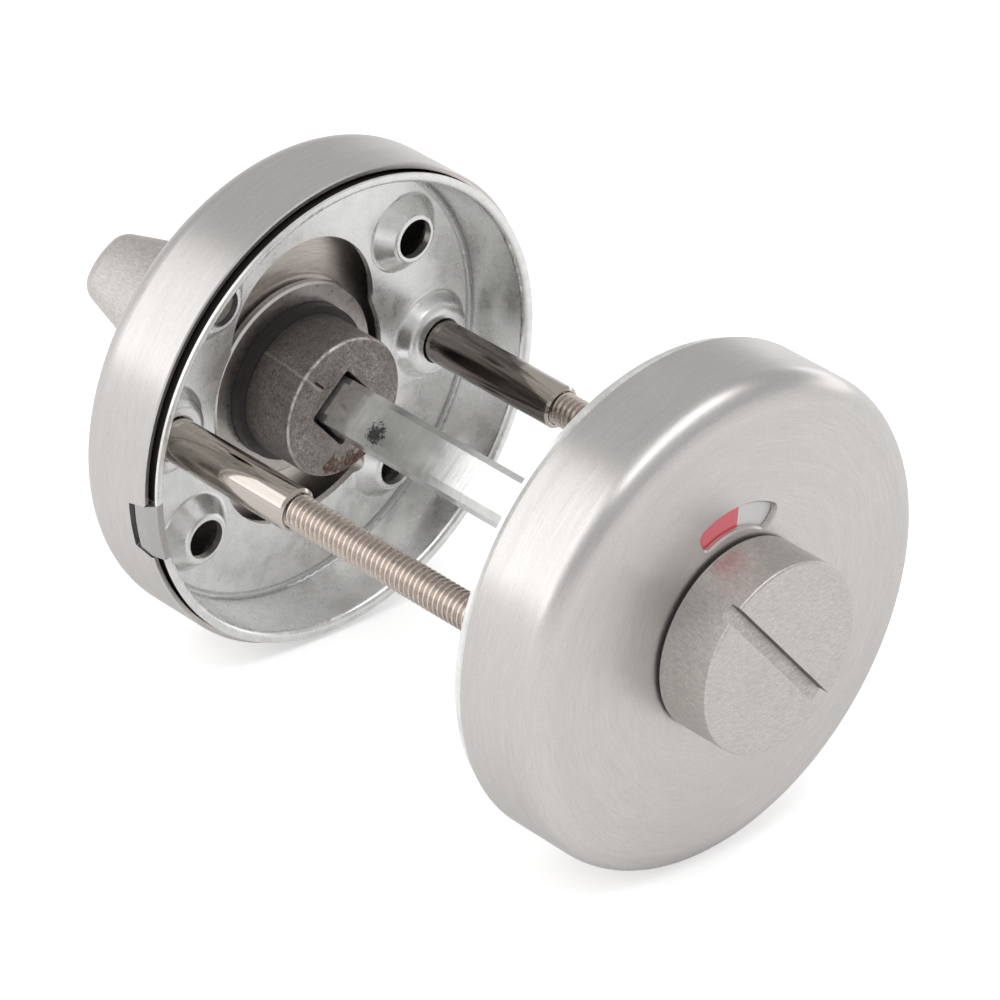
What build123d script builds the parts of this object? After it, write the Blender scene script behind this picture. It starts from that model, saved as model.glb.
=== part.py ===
"""Bathroom thumb turn lock: a thumb turn on its rose for the inside of the door,
and a coin release with a red and white indicator on its rose for the outside.

Millimetres. The spindle runs along Y. Y = 0 is the plane where the inside rose
sits on the door, the inside is +Y and the outside is -Y. X runs through the two
through bolts and Z is up. The turn stands half way between its two ends.
Both halves are drawn as the inside one, with heights measured from the door,
and the pieces of the outside half are then turned round.
"""
from build123d import *
from math import atan, cos, degrees, radians, sin, sqrt, tan
import os

# Door and covers
door_thickness = 44.5
rose_diameter = 55.0
cover_depth = 10.5
cover_wall = 0.6
cover_edge_radius = 2.7
cover_rim_bevel = 0.15
seat_proud = 1.3

# Pressed base plates
plate_wall = 0.8
flange_width = 1.1
flange_clearance = 0.05
flange_bevel = 0.35
flange_mouth = 0.75
dish_depth = 8.0
dish_taper = 0.6
dish_corner = 0.5
nib_count = 4
nib_turn = 22.5
nib_radius = 1.6
nib_height = 4.5

# Opening in the floor of the base plates
waist_radius = 11.95
waist_blend = 2.5
lobe_radius = 10.1
lobe_offset = 6.75
lobe_corner = 2.0

# Tab on the plate and the notch that it sits in
notch_turn = 194.0
notch_width = 6.9
notch_floor_width = 5.6
notch_depth = 2.45
tab_lift = 0.3
tab_side_clearance = 0.23
tab_end_clearance = 0.8
tab_sink = 0.1

# Screw holes and bolt bosses of the base plates
bolt_spacing = 38.0
screw_circle = 39.0
screw_hole_count = 4
screw_hole_turn = 45.0
screw_hole_diameter = 4.5
bump_height = 2.0
bump_base_radius = 4.5
bump_top_radius = 2.8
bump_brow = 0.5
boss_height = 2.0
boss_base_radius = 5.0
boss_top_radius = 4.0
boss_brow = 1.3
bump_foot = 0.5

# Through bolts
sleeve_diameter = 4.9
sleeve_reach = 12.8
sleeve_hole_clearance = 0.2
sleeve_end_bevel = 0.3
thread_diameter = 3.9
thread_clearance = 0.05
thread_end_bevel = 0.5
screw_engagement = 13.0
adjustment = 5.0
head_diameter = 6.8
head_height = 2.0
head_bevel = 0.3
driver_slot_width = 1.1
driver_slot_depth = 1.0

# Bush, snap ring and spring washer in each cover
neck_radius = 7.0
neck_clearance = 0.06
bush_radius = 8.85
bush_clearance = 0.05
bush_flange_radius = 10.0
bush_flange_thickness = 0.3
turn_bush_reach = 3.7
release_bush_reach = 1.9
ring_width = 2.2
ring_thickness = 0.9
ring_bevel = 0.25
ring_setback = 1.3
ring_gap = 2.0
ring_gap_turn = -93.0
release_ring_inset = 0.2
washer_width = 2.3
washer_wall = 0.65
washer_clearance = 0.05
end_clearance = 0.1

# Base of both knobs
grip_radius = 10.6

# Thumb turn
turn_tip_radius = 7.8
turn_length = 23.4
turn_tip_half_thickness = 3.75
turn_flat_slope = 0.27
turn_round = 2.6
rest_turn = 45.0

# Spindle, the two cast hubs and their screws
hub_radius = 8.0
hub_recess = 0.8
hub_edge_round = 0.5
spigot_radius = 5.4
spigot_half_flat = 4.6
spigot_clearance = 0.03
socket_side = 6.5
socket_corner = 0.5
release_socket_side = 5.56
socket_web = 1.6
turn_socket_depth = 17.2
release_socket_depth = 11.0
spindle_side = 5.5
spindle_corner = 0.8
spindle_end_bevel = 0.6
spindle_turn_reach = 10.0
spindle_release_reach = 8.6
hub_screw_diameter = 3.9
hub_screw_head_diameter = 5.2
hub_screw_head_height = 2.0
turn_screw_length = 9.0
release_screw_length = 5.0
screw_socket_width = 2.5
screw_socket_depth = 1.2
pin_diameter = 2.5
pin_clearance = 0.03
pin_height = 4.4
pin_sink = 0.15

# Release knob, window and indicator
release_height = 6.4
release_edge_round = 0.3
coin_slot_width = 1.8
coin_slot_depth = 1.3
sign_turn = 91.0
window_rise = 4.3
window_shift = 0.8
window_half_angle = 34.0
window_radius = 8.85
window_width = 2.6
window_corner = 0.9
window_bevel = 0.2
indicator_radius = 15.6
indicator_wall = 0.8
indicator_clearance = 0.15
indicator_step_radius = 10.9
red_sector = 92.0
red_thickness = 0.3
red_margin = 0.3

# Heights and radii that follow from the sizes above
rim = seat_proud
face = seat_proud + cover_depth
cover_inside = face - cover_wall
rose_radius = rose_diameter / 2
cover_bore = rose_radius - cover_wall
cover_hole_radius = bush_radius + bush_clearance
release_ring_width = grip_radius - release_ring_inset - cover_hole_radius
flange_radius = cover_bore - flange_clearance
dish_radius = flange_radius - flange_width
floor_radius = dish_radius - dish_taper
floor_front = dish_depth
floor_back = dish_depth + plate_wall
opening_reach = lobe_offset + lobe_radius
notch_floor = rim + notch_depth
window_inner_radius = window_radius - window_width / 2
window_outer_radius = window_radius + window_width / 2
sleeve_radius = sleeve_diameter / 2
bolt_hole_radius = sleeve_radius + sleeve_hole_clearance
thread_radius = thread_diameter / 2
thread_bore_radius = thread_radius + thread_clearance
head_seat = floor_front - boss_height + plate_wall
bush_bore_radius = neck_radius + neck_clearance
bush_face = face + bush_flange_thickness
knob_seat = bush_face + end_clearance
turn_bush_end = cover_inside - turn_bush_reach
release_bush_end = cover_inside - release_bush_reach
turn_neck_end = turn_bush_end - end_clearance / 2
release_neck_end = release_bush_end - end_clearance
indicator_face = cover_inside - indicator_clearance
release_hub_back = release_neck_end - indicator_wall
half_circle = 180.0
right_angle = 90.0


def across(height):
    """Plane square to the spindle, X to the right and Z up."""
    return Plane(origin=(0, height, 0), x_dir=(1, 0, 0), z_dir=(0, -1, 0))


def outwards(angle):
    """Plane through the spindle line that faces out at an angle, with Y up."""
    x = cos(radians(angle))
    z = sin(radians(angle))
    return Plane(origin=(0, 0, 0), x_dir=(z, 0, -x), z_dir=(x, 0, z))


def bar(outline, low, high):
    """Prism of an outline drawn in X and Z, from one height to another."""
    return extrude(across(high) * outline, amount=high - low)


def disc(radius, low, high):
    """Round bar on the spindle line."""
    return bar(Circle(radius), low, high)


def tube(outer, inner, low, high):
    """Round ring on the spindle line."""
    return disc(outer, low, high) - disc(inner, low, high)


def outline(*points):
    """Flat face through radius and height points."""
    return make_face(Polyline(*points, close=True))


def spun(section):
    """Solid turned about the spindle line from a section."""
    return revolve(section, axis=Axis.Y)


def corner(section, radius, height):
    """The corner of a section that is nearest to a radius and a height."""
    return section.vertices().sort_by_distance((radius, height, 0))[0]


def at(radius, angle):
    """Shift from the spindle line to a place on a circle."""
    return Pos(radius * cos(radians(angle)), 0, radius * sin(radians(angle)))


def screw_places():
    """Places of the four wood screw holes."""
    step = 2 * half_circle / screw_hole_count
    return [at(screw_circle / 2, screw_hole_turn + step * i) for i in range(screw_hole_count)]


def bolt_places():
    """Places of the two through bolts."""
    return [Pos(side * bolt_spacing / 2, 0, 0) for side in (-1, 1)]


def outside(piece):
    """Turn a piece of the inside half round to the outside of the door."""
    return Pos(0, -door_thickness, 0) * Rot(0, 0, half_circle) * piece


def seen(angle):
    """Angle seen from outside, in the frame that the outside half is drawn in."""
    return half_circle - angle


# Covers

def cup(radius, edge_radius, low, high):
    """Solid drum with a round edge on top."""
    section = outline((0, low), (radius, low), (radius, high), (0, high))
    return fillet(corner(section, radius, high), edge_radius)


def cover():
    """Thin round cap with a rolled edge, a bush hole and a notch in its rim."""
    shell = cup(rose_radius, cover_edge_radius, rim, face)
    shell = chamfer(corner(shell, rose_radius, rim), cover_rim_bevel)
    hollow = cup(cover_bore, cover_edge_radius - cover_wall, 0, cover_inside)
    piece = spun(shell) - spun(hollow) - disc(cover_hole_radius, 0, face)
    return piece - wedge(notch_width / 2, notch_floor_width / 2, rim, notch_floor, notch_turn)


def wedge(half_width, far_half_width, low, high, turn):
    """Radial wedge at the rim, carried on below its lower width."""
    slope = (half_width - far_half_width) / (high - low)
    foot = half_width + slope * low
    section = outline((-foot, 0), (foot, 0), (far_half_width, high), (-far_half_width, high))
    return extrude(outwards(turn) * section, amount=rose_radius + cover_wall)


# Base plates

def dish():
    """Pressed sheet before its bumps: flange, rolled lip, wall and floor."""
    wall_outside = dish_radius + plate_wall
    floor_outside = floor_radius + plate_wall
    section = outline((0, floor_front), (floor_radius, floor_front), (dish_radius, 0),
                      (flange_radius, 0), (flange_radius, plate_wall - flange_bevel),
                      (wall_outside, plate_wall), (floor_outside, floor_back), (0, floor_back))
    section = fillet(corner(section, dish_radius, 0), flange_mouth)
    section = fillet(corner(section, floor_radius, floor_front), dish_corner)
    section = fillet(corner(section, floor_outside, floor_back), dish_corner + plate_wall)
    return spun(section)


def bump(base, top, height, brow):
    """Door side skin of a pressed bump on its own axis, with soft corners."""
    head = floor_front - height
    wide = base + 2 * bump_foot
    back = floor_back - plate_wall / 2
    section = outline((0, head), (top, head), (base, floor_front), (wide, floor_front),
                      (wide, back), (0, back))
    section = fillet(corner(section, top, head), brow)
    return spun(fillet(corner(section, base, floor_front), bump_foot))


def pocket(base, top, height):
    """Hollow behind a pressed bump, one wall inside its front skin."""
    lean = atan((base - top) / height)
    inset = plate_wall * (tan(lean) - 1 / cos(lean))
    head = floor_front - height + plate_wall
    return spun(outline((0, head), (top + inset, head), (base + inset, floor_back), (0, floor_back)))


def opening():
    """Opening in the floor: a round waist with a lobe above and one below."""
    lobes = Pos(0, lobe_offset) * Circle(lobe_radius)
    lobes += Pos(0, -lobe_offset) * Circle(lobe_radius)
    shape = fillet((Circle(waist_radius) + lobes).vertices(), waist_blend)
    block = Pos(lobe_radius / 2, -opening_reach / 2) * Rectangle(lobe_radius, opening_reach)
    square = block & Circle(opening_reach)
    square = fillet(corner(square, lobe_radius, -opening_reach), lobe_corner)
    return shape + square


def tab():
    """Tab that is bent out from the flange into the notch of the cover."""
    out = rose_radius - tab_sink
    top = notch_floor - tab_end_clearance
    strip = spun(outline((flange_radius - plate_wall, 0), (flange_radius, 0), (out, rim), (out, top),
                         (out - plate_wall, top), (out - plate_wall, rim)))
    slope = (notch_width - notch_floor_width) / 2 / notch_depth
    low = notch_width / 2 - tab_side_clearance
    high = low - slope * (top - rim)
    return strip & wedge(low, high, rim, top, notch_turn - tab_lift)


def nibs():
    """Small bumps on the wall of the dish that the cover snaps over."""
    ball = Pos(0, nib_height, 0) * Sphere(nib_radius)
    core = disc((dish_radius + floor_radius + plate_wall) / 2, 0, floor_front)
    step = 2 * half_circle / nib_count
    return [at(cover_bore - nib_radius, nib_turn + step * i) * ball - core for i in range(nib_count)]


def pressed(body, places, shape, hollow, hole_radius):
    """The sheet with a bump pressed into it, and a hole through the bump, at each place."""
    for place in places:
        body = body + place * shape - place * hollow
        body -= place * disc(hole_radius, 0, floor_back)
    return body


def plate():
    """Pressed steel base plate with its dish, bumps, bosses, opening and tab."""
    body = dish()
    body = pressed(body, screw_places(),
                   bump(bump_base_radius, bump_top_radius, bump_height, bump_brow),
                   pocket(bump_base_radius, bump_top_radius, bump_height),
                   screw_hole_diameter / 2)
    body = pressed(body, bolt_places(),
                   bump(boss_base_radius, boss_top_radius, boss_height, boss_brow),
                   pocket(boss_base_radius, boss_top_radius, boss_height),
                   bolt_hole_radius)
    for nib in nibs():
        body += nib
    return body - bar(opening(), 0, floor_back) + tab()


# Through bolts

def bolt_head():
    """Round slotted head that sits in the pocket of a boss."""
    radius = head_diameter / 2
    top = head_seat + head_height
    section = outline((0, head_seat), (radius, head_seat), (radius, top), (0, top))
    head = spun(chamfer(corner(section, radius, top), head_bevel))
    slot = Rectangle(2 * head_diameter, driver_slot_width)
    return head - bar(slot, top - driver_slot_depth, top)


def sleeve():
    """Sleeve nut: a slotted head on a tube with an internal thread."""
    shank = outline((0, -sleeve_reach), (sleeve_radius, -sleeve_reach),
                    (sleeve_radius, head_seat), (0, head_seat))
    shank = chamfer(corner(shank, sleeve_radius, -sleeve_reach), sleeve_end_bevel)
    bore_end = screw_engagement - sleeve_reach + adjustment + thread_end_bevel
    return spun(shank) + bolt_head() - disc(thread_bore_radius, -sleeve_reach, bore_end)


def through_screw():
    """Machine screw of the outside rose, as long as its grip in the sleeve asks."""
    end = sleeve_reach - screw_engagement - door_thickness
    shank = outline((0, end), (thread_radius, end), (thread_radius, head_seat), (0, head_seat))
    return spun(chamfer(corner(shank, thread_radius, end), thread_end_bevel)) + bolt_head()


# Bushes, rings and washer

def bush(end):
    """Flanged bush that carries a neck in the hole of a cover."""
    body = disc(bush_radius, end, face) + disc(bush_flange_radius, face, bush_face)
    return body - disc(bush_bore_radius, end, bush_face)


def snap_ring(width, low):
    """Split ring that grips the bush behind the cover."""
    outer = cover_hole_radius + width
    gap = at(outer, ring_gap_turn) * Rot(0, -ring_gap_turn, 0) * Box(outer, outer, ring_gap)
    section = outline((cover_hole_radius, low), (outer, low), (outer, low + ring_thickness),
                      (cover_hole_radius, low + ring_thickness))
    return spun(chamfer(corner(section, outer, low), ring_bevel)) - gap


def spring_washer():
    """Dished washer between the snap ring and the cover."""
    inner = cover_hole_radius + washer_clearance
    outer = inner + washer_width
    low = turn_bush_end + ring_setback + ring_thickness + washer_clearance
    return spun(outline((inner, low), (outer, cover_inside - washer_wall),
                        (outer, cover_inside), (inner, low + washer_wall)))


# Hubs, their screws and the spindle

def square_outline(side, bevel):
    """Square section that stands on its corner."""
    shape = Rectangle(side, side, rotation=rest_turn)
    if bevel:
        shape = chamfer(shape.vertices(), bevel)
    return shape


def spigot_outline(clearance):
    """Round section with two flats that keys a hub to its knob."""
    width = 2 * (spigot_half_flat + clearance)
    flats = Rectangle(width, 2 * (spigot_radius + spigot_half_flat), rotation=rest_turn)
    return Circle(spigot_radius + clearance) & flats


def hub(back, side, depth):
    """Cast hub with a square socket and a keyed spigot behind it."""
    section = outline((0, hub_recess), (hub_radius, hub_recess), (hub_radius, back), (0, back))
    body = spun(fillet(corner(section, hub_radius, hub_recess), hub_edge_round))
    body += bar(spigot_outline(0), back, depth + socket_web)
    socket = fillet(square_outline(side, 0).vertices(), socket_corner)
    body -= bar(socket, hub_recess, depth)
    return body - disc(hub_screw_diameter / 2, depth, depth + socket_web)


def hub_screw(depth, length):
    """Cap screw in the bottom of a socket that holds the hub to its knob."""
    head = disc(hub_screw_head_diameter / 2, depth - hub_screw_head_height, depth)
    drive = RegularPolygon(screw_socket_width / 2, 6, major_radius=False)
    low = depth - hub_screw_head_height
    head -= bar(drive, low, low + screw_socket_depth)
    return head + disc(hub_screw_diameter / 2, depth, depth + length)


def knob_core(neck_end, depth, length):
    """Bore of a knob: the keyed spigot hole and the screw hole beyond it."""
    hole = bar(spigot_outline(spigot_clearance), neck_end, depth + socket_web)
    return hole + disc(hub_screw_diameter / 2, depth + socket_web, depth + length)


def pin_bore(radius, half_length):
    """Round bar across the spindle, square to one of its sides."""
    across_flat = Rot(0, -rest_turn, 0) * Rot(0, right_angle, 0)
    return Pos(0, pin_height, 0) * across_flat * Cylinder(radius, 2 * half_length)


def spindle():
    """Square bar from the release hub to the socket of the turn."""
    low = -spindle_turn_reach - door_thickness
    body = bar(square_outline(spindle_side, spindle_corner), low, spindle_release_reach)
    ends = body.faces().sort_by(Axis.Y)
    body = chamfer(ends[0].edges() + ends[-1].edges(), spindle_end_bevel)
    return body - pin_bore(pin_diameter / 2 + pin_clearance, hub_radius)


# Thumb turn

def turn_grip():
    """Tapered grip with two leaning flats and a soft tip."""
    top = knob_seat + turn_length
    cone = spun(outline((0, knob_seat), (grip_radius, knob_seat), (turn_tip_radius, top), (0, top)))
    low_half = turn_tip_half_thickness + turn_flat_slope * turn_length
    blade = outline((-low_half, knob_seat), (low_half, knob_seat),
                    (turn_tip_half_thickness, top), (-turn_tip_half_thickness, top))
    side = Plane(origin=(0, 0, 0), x_dir=(sin(radians(rest_turn)), 0, cos(radians(rest_turn))),
                 z_dir=(-cos(radians(rest_turn)), 0, sin(radians(rest_turn))))
    grip = cone & extrude(side * blade, amount=rose_radius, both=True)
    tip_edges = grip.faces().sort_by(Axis.Y)[-1].edges()
    return fillet(tip_edges + grip.edges().filter_by(is_long_side), turn_round)


def is_long_side(edge):
    """Whether an edge of the grip runs from its base to its tip."""
    size = edge.bounding_box().size
    return size.Y > turn_length / 2


def turn_knob():
    """Thumb turn: the grip, and the neck that runs in the bush."""
    body = turn_grip() + disc(neck_radius, turn_neck_end, knob_seat)
    return body - knob_core(turn_neck_end, turn_socket_depth, turn_screw_length)


# Release knob and indicator

def release_knob():
    """Round knob with a coin slot, and the neck that runs in the bush."""
    top = knob_seat + release_height
    section = outline((0, knob_seat), (grip_radius, knob_seat), (grip_radius, top), (0, top))
    body = spun(fillet(corner(section, grip_radius, top), release_edge_round))
    slot = Rectangle(rose_diameter, coin_slot_width, rotation=seen(-rest_turn))
    body -= bar(slot, top - coin_slot_depth, top)
    body += disc(neck_radius, release_neck_end, knob_seat)
    return body - knob_core(release_neck_end, release_socket_depth, release_screw_length)


def sector(inner, outer, start, end):
    """Ring sector between two angles."""
    radius = 2 * outer
    middle = (start + end) / 2
    tips = [(radius * cos(radians(a)), radius * sin(radians(a))) for a in (start, middle, end)]
    slice_shape = make_face(Polyline((0, 0), *tips, close=True))
    return (Circle(outer) - Circle(inner)) & slice_shape


def window():
    """Curved window in the outside cover, with soft corners."""
    shape = sector(window_inner_radius, window_outer_radius,
                   right_angle - window_half_angle, right_angle + window_half_angle)
    return Pos(window_shift, window_rise) * fillet(shape.vertices(), window_corner)


def outside_cover():
    """Cover of the outside rose, with its indicator window."""
    body = cover() - bar(window(), 0, face)
    edges = body.edges().filter_by(is_window_edge)
    return chamfer(edges, window_bevel)


def is_window_edge(edge):
    """Whether an edge of the outside cover is on the outer side of the window."""
    middle = edge.position_at(0.5)
    radius = sqrt((middle.X - window_shift) ** 2 + (middle.Z - window_rise) ** 2)
    near = window_inner_radius - window_bevel < radius < window_outer_radius + window_bevel
    above = middle.Z > window_rise + window_inner_radius / 2
    return near and above and abs(middle.Y - face) < window_bevel / 2


def red_outline(margin):
    """Red field of the indicator, up to the line that stands in the window."""
    end = seen(sign_turn)
    return sector(indicator_step_radius + margin, indicator_radius - margin, end - red_sector, end)


def indicator():
    """Dished indicator disc, keyed to the spigot of the release hub."""
    low = indicator_face - indicator_wall
    wall = indicator_step_radius + indicator_wall
    body = tube(indicator_radius, indicator_step_radius, low, indicator_face)
    body += tube(wall, indicator_step_radius, release_hub_back, indicator_face)
    body += disc(wall, release_hub_back, release_neck_end)
    body -= bar(spigot_outline(spigot_clearance), release_hub_back, release_neck_end)
    return body - red_field()


def red_field():
    """Red inlay in the face of the indicator disc."""
    return bar(red_outline(red_margin), indicator_face - red_thickness, indicator_face)


def release_hub():
    """Cast hub of the release, cross drilled for the spindle pin."""
    body = hub(release_hub_back, release_socket_side, release_socket_depth)
    return body - pin_bore(pin_diameter / 2 + pin_clearance, hub_radius)


def spindle_pin():
    """Pin that holds the spindle in the release hub."""
    return pin_bore(pin_diameter / 2, hub_radius - pin_sink)


def build():
    """Every piece under its own name, in its place."""
    pieces = {
        "inside_cover": cover(),
        "inside_plate": plate(),
        "turn_bush": bush(turn_bush_end),
        "turn_snap_ring": snap_ring(ring_width, turn_bush_end + ring_setback),
        "turn_spring_washer": spring_washer(),
        "sleeve_nuts": [place * sleeve() for place in bolt_places()],
        "thumb_turn": turn_knob(),
        "turn_hub": hub(turn_neck_end, socket_side, turn_socket_depth),
        "turn_hub_screw": hub_screw(turn_socket_depth, turn_screw_length),
        "outside_cover": outside(outside_cover()),
        "outside_plate": outside(plate()),
        "release_bush": outside(bush(release_bush_end)),
        "release_snap_ring": outside(snap_ring(release_ring_width, cover_inside - ring_thickness)),
        "through_screws": [outside(place * through_screw()) for place in bolt_places()],
        "release_knob": outside(release_knob()),
        "release_hub": outside(release_hub()),
        "release_hub_screw": outside(hub_screw(release_socket_depth, release_screw_length)),
        "indicator_disc": outside(indicator()),
        "red_field": outside(red_field()),
        "spindle": outside(spindle()),
        "spindle_pin": outside(spindle_pin()),
    }
    return pieces


def write(name, piece):
    """Write one piece, or a group of like pieces, to its own file."""
    shape = Compound(children=piece) if isinstance(piece, list) else piece
    export_step(shape, f"parts/{name}.step")


os.makedirs("parts", exist_ok=True)
for node_name, node_piece in build().items():
    write(node_name, node_piece)
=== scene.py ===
"""Looks of a bathroom thumb turn lock and its photograph's view, laid out as an add-on.

Sizes are metres. The lock's axis runs along Y with its middle at the origin, the inside rose
and its thumb turn towards +Y, the outside rose and its coin release towards -Y, Z up.
"""

import math

import bpy
from mathutils import Matrix, Vector


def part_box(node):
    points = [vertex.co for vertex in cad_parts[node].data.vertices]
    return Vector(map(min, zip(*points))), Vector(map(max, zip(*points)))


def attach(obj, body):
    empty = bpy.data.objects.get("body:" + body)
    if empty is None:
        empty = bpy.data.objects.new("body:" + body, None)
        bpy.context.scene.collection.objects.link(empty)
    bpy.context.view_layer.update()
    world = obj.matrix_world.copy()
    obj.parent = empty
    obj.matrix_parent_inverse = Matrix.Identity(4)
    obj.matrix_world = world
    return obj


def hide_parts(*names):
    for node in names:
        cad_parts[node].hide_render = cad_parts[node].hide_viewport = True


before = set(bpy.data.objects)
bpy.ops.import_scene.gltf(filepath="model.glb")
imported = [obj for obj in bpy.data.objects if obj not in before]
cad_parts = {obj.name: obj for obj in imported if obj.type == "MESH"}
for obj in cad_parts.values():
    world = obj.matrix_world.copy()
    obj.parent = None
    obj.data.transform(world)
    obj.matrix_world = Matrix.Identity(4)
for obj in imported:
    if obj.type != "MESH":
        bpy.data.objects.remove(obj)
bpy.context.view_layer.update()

bl_info = {
    "name": "Bathroom thumb turn lock",
    "version": (1, 1, 0),
    "blender": (4, 5, 0),
    "location": "View3D > Sidebar > Thumb turn lock",
    "description": "Finishes the parts of a bathroom thumb turn lock and sets its stage",
    "category": "Object",
}

millimetre = 0.001
full_turn = 2 * math.pi


# Properties

def colour(name, description, value):
    """A colour a person can change in the panel."""
    return bpy.props.FloatVectorProperty(
        name=name,
        description=description,
        subtype="COLOR",
        size=3,
        min=0.0,
        max=1.0,
        default=value,
    )


def length(name, description, value):
    """A length a person can change in the panel."""
    return bpy.props.FloatProperty(
        name=name,
        description=description,
        default=value,
        unit="LENGTH",
        precision=5,
    )


def share(name, description, value):
    """A plain number between nought and one."""
    return bpy.props.FloatProperty(
        name=name,
        description=description,
        default=value,
        min=0.0,
        max=1.0,
    )


def turn(name, description, value):
    """An angle a person can change in the panel, given in degrees."""
    return bpy.props.FloatProperty(
        name=name,
        description=description,
        default=math.radians(value),
        unit="ROTATION",
    )


def power(name, description, value):
    """A lamp's power in watts."""
    return bpy.props.FloatProperty(name=name, description=description, default=value, unit="POWER")


def plain(name, description, value):
    """A plain number."""
    return bpy.props.FloatProperty(name=name, description=description, default=value)


class ROSE_PG_looks(bpy.types.PropertyGroup):
    """Finish of the two brushed roses and the pressed plates in them."""

    steel: colour("Steel", "Colour of the brushed stainless steel", (0.625, 0.603, 0.588))
    roughness: share("Roughness", "How far the brushing spreads a reflection", 0.33)
    brushing: share("Brushing", "How much more it spreads across the lines than along them", 0.55)
    line: length("Line", "Width of one brushed line", 0.13 * millimetre)
    lining: colour("Lining", "Colour of the steel inside a cover", (0.80, 0.74, 0.69))
    zinc: colour("Zinc", "Colour of the plated mounting plates", (0.90, 0.90, 0.885))
    # The cut edge colour is partly the plate's raw cut steel and partly painted shade in the gap under
    # the cover.
    cut: colour("Cut edge", "Colour of a plate's dark cut edge and back", (0.030, 0.026, 0.024))
    mottle: length("Mottle", "Size of the plating's cloudy patches", 2.0 * millimetre)


class TURN_PG_looks(bpy.types.PropertyGroup):
    """Finish of the thumb turn, the coin release and the parts that carry them."""

    turn: colour("Turn", "Colour of the thumb turn", (0.64, 0.607, 0.585))
    release: colour("Release", "Colour of the coin release", (0.62, 0.588, 0.565))
    roughness: share("Roughness", "How matt the satin is", 0.46)
    cast: colour("Cast hub", "Colour of the cast hubs", (0.32, 0.292, 0.272))
    rust: colour("Rust", "Colour of the rust spot on the hub", (0.088, 0.027, 0.013))
    spring: colour("Spring steel", "Colour of the snap rings and the washer", (0.50, 0.465, 0.44))
    nylon: colour("Bush", "Colour of the nylon bushes", (0.040, 0.038, 0.037))
    screw: colour("Hub screws", "Colour of the hub screws and the pin", (0.42, 0.41, 0.40))


class FIXING_PG_looks(bpy.types.PropertyGroup):
    """Sizes and finish of the spindle, the sleeve nuts and the through screws."""

    zinc: colour("Spindle", "Colour of the zinc plated spindle", (0.84, 0.84, 0.825))
    chrome: colour("Sleeves", "Colour of the plated sleeve nuts", (0.56, 0.51, 0.465))
    # The sleeve towards +X is painted dark, a painted shade for the dark surroundings it mirrors.
    browned: share("Shaded sleeve", "How light the browned sleeve is against the other one", 0.42)
    bolt: colour("Screws", "Colour of the through screws", (0.66, 0.59, 0.54))
    pitch: length("Pitch", "Distance from one thread to the next", 0.7 * millimetre)
    crest: length("Crest radius", "Radius over the thread", 1.95 * millimetre)
    root: length("Root radius", "Radius at the bottom of the thread", 1.55 * millimetre)
    head: length("Head radius", "Radius of a screw head", 3.4 * millimetre)
    head_height: length("Head height", "Height of a screw head", 2.0 * millimetre)
    slot: length("Driver slot", "Width of the slot in a screw head", 1.1 * millimetre)


class SIGN_PG_looks(bpy.types.PropertyGroup):
    """Colours of the sign behind the window."""

    white: colour("Free", "Colour of the sign's free half", (0.95, 0.96, 0.96))
    red: colour("Locked", "Colour of the sign's locked half", (0.98, 0.22, 0.26))


class STAGE_PG_looks(bpy.types.PropertyGroup):
    """The floor, the light and the camera."""

    floor: colour("Floor", "Colour of the plain floor", (0.92, 0.92, 0.92))
    lift: share("Floor lift", "What the floor adds where the picture sees it", 0.48)
    mirrored: share("Mirrored floor", "What the floor adds where something mirrors it", 0.12)
    sky: share("Sky", "Brightness of the light from all round", 0.55)
    zenith: share("Zenith", "Brightness of the sky overhead against the horizon", 0.56)
    main: power("Main lamp", "Power of the large soft lamp on the left", 8.4)
    top: power("Top lamp", "Power of the soft lamp above the release", 5.0)
    fill: power("Fill lamp", "Power of the soft strip lamp on the right", 1.6)
    heading: turn("Heading", "Turn of the camera away from looking along +Y", -46.57)
    elevation: turn("Elevation", "How far the camera looks down", 28.95)
    roll: turn("Roll", "Tilt of the picture", 5.36)
    distance: length("Distance", "From the camera to the point it looks at", 634.4 * millimetre)
    lens: plain("Lens", "Focal length on the sensor below, in millimetres", 216.8)
    sensor: plain("Sensor", "Width of the sensor, in millimetres", 36.0)


# Nodes of a material

def set_inputs(tree, node, inputs):
    """Sets a node's inputs to values or to other nodes' outputs."""
    for key, value in inputs.items():
        if isinstance(value, bpy.types.NodeSocket):
            tree.links.new(value, node.inputs[key])
        else:
            node.inputs[key].default_value = value


def add(tree, kind, inputs=None, **settings):
    """Adds a node with its settings and its inputs."""
    node = tree.nodes.new(kind)
    for name, value in settings.items():
        setattr(node, name, value)
    set_inputs(tree, node, inputs or {})
    return node


def maths(tree, operation, first, second=0.0):
    """One sum with numbers."""
    node = add(tree, "ShaderNodeMath", {0: first, 1: second}, operation=operation)
    return node.outputs["Value"]


def vectors(tree, operation, first, second=(0.0, 0.0, 0.0)):
    """One sum with vectors."""
    node = add(tree, "ShaderNodeVectorMath", {0: first, 1: second}, operation=operation)
    one_number = operation in ("LENGTH", "DOT_PRODUCT")
    return node.outputs["Value" if one_number else "Vector"]


def stretch(tree, vector, amount):
    """A vector with each of its parts multiplied."""
    return vectors(tree, "MULTIPLY", vector, amount)


def noise(tree, vector, scale, detail=3.0, roughness=0.5, along=None):
    """Noise of that many lumps a metre; along, where given, is a fourth direction."""
    inputs = {"Vector": vector, "Scale": scale, "Detail": detail, "Roughness": roughness}
    if along is not None:
        inputs["W"] = along
    dimensions = "3D" if along is None else "4D"
    node = add(tree, "ShaderNodeTexNoise", inputs, noise_dimensions=dimensions)
    return node.outputs["Fac"]


def between(tree, value, low, high, new_low=0.0, new_high=1.0):
    """A value moved from one range to another and held inside it."""
    inputs = {
        "Value": value,
        "From Min": low,
        "From Max": high,
        "To Min": new_low,
        "To Max": new_high,
    }
    return add(tree, "ShaderNodeMapRange", inputs, clamp=True).outputs["Result"]


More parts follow.
